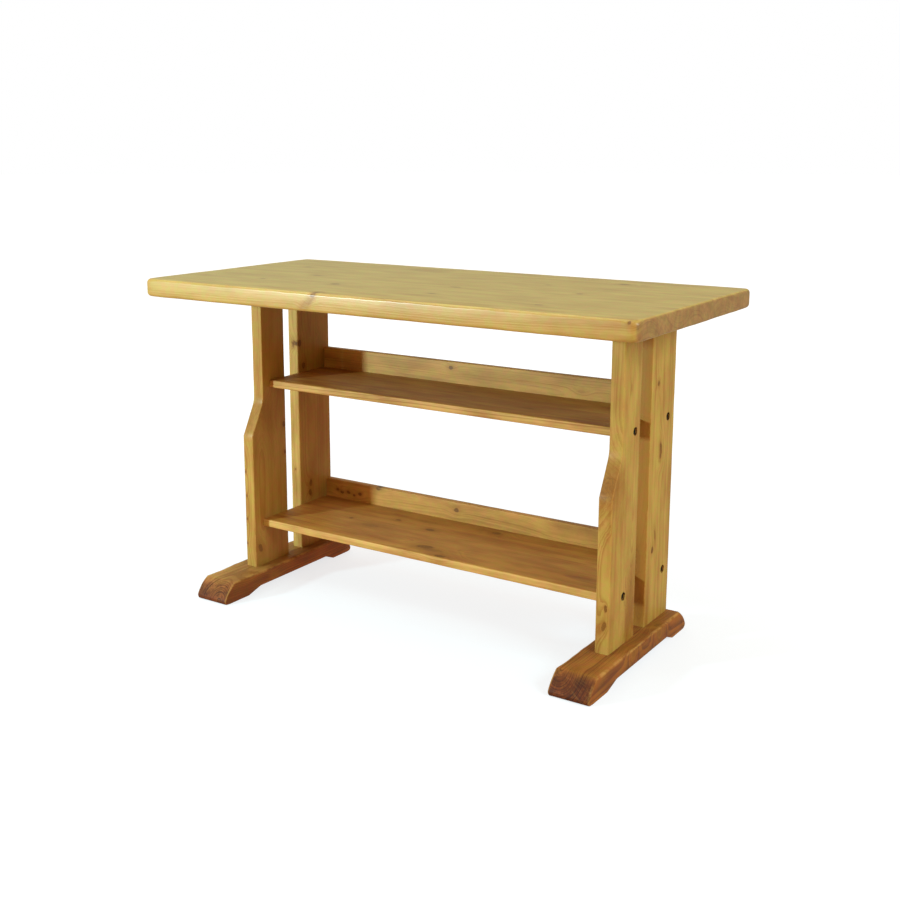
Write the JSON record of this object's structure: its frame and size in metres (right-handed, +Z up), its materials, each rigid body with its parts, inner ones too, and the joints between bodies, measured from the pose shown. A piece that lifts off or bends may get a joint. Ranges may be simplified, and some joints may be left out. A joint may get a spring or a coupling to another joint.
{
  "type": "potting bench",
  "caption": "Trestle bench in honey-stained pine: thick overhanging top, paired leg planks on sled feet and open shelves with a rail along the back.",
  "frame": {"origin": "on the floor, under the middle of the top", "axes": "+X along the bench to the right, +Y from the front to the back, +Z up"},
  "size_m": [1.2, 0.57, 0.75],
  "materials": {
    "top_pine": "pine, honey stain with a satin varnish, slightly yellow-green in grazing light",
    "leg_pine": "pine, honey stain with a satin varnish and small knots",
    "foot_pine": "pine, honey stain, darker and browner at the end grain",
    "shelf_pine": "pine, honey stain with a satin varnish and brown knots",
    "rail_pine": "pine, honey stain with a satin varnish",
    "black_steel": "steel with a satin black oxide finish",
    "zinc_steel": "bright zinc-plated steel",
    "dowel_beech": "plain beech dowel"
  },
  "bodies": {
    "root": {"top_board_1": "top_pine", "top_board_2": "top_pine", "top_board_3": "top_pine", "top_board_4": "top_pine", "top_board_5": "top_pine", "left_front_leg": "leg_pine", "left_rear_leg": "leg_pine", "right_front_leg": "leg_pine", "right_rear_leg": "leg_pine", "left_foot": "foot_pine", "right_foot": "foot_pine", "upper_shelf_front_board": "shelf_pine", "upper_shelf_back_board": "shelf_pine", "lower_shelf_front_board": "shelf_pine", "lower_shelf_back_board": "shelf_pine", "upper_rail": "rail_pine", "lower_rail": "rail_pine", "upper_shelf_bolts": "black_steel", "upper_shelf_barrel_nuts": "zinc_steel", "upper_shelf_dowels": "dowel_beech", "lower_shelf_bolts": "black_steel", "lower_shelf_barrel_nuts": "zinc_steel", "lower_shelf_dowels": "dowel_beech", "upper_rail_screws": "zinc_steel", "lower_rail_screws": "zinc_steel", "top_dowels": "dowel_beech", "foot_dowels": "dowel_beech", "foot_washers": "zinc_steel", "foot_coach_screws": "zinc_steel"}
  },
  "joints": []
}
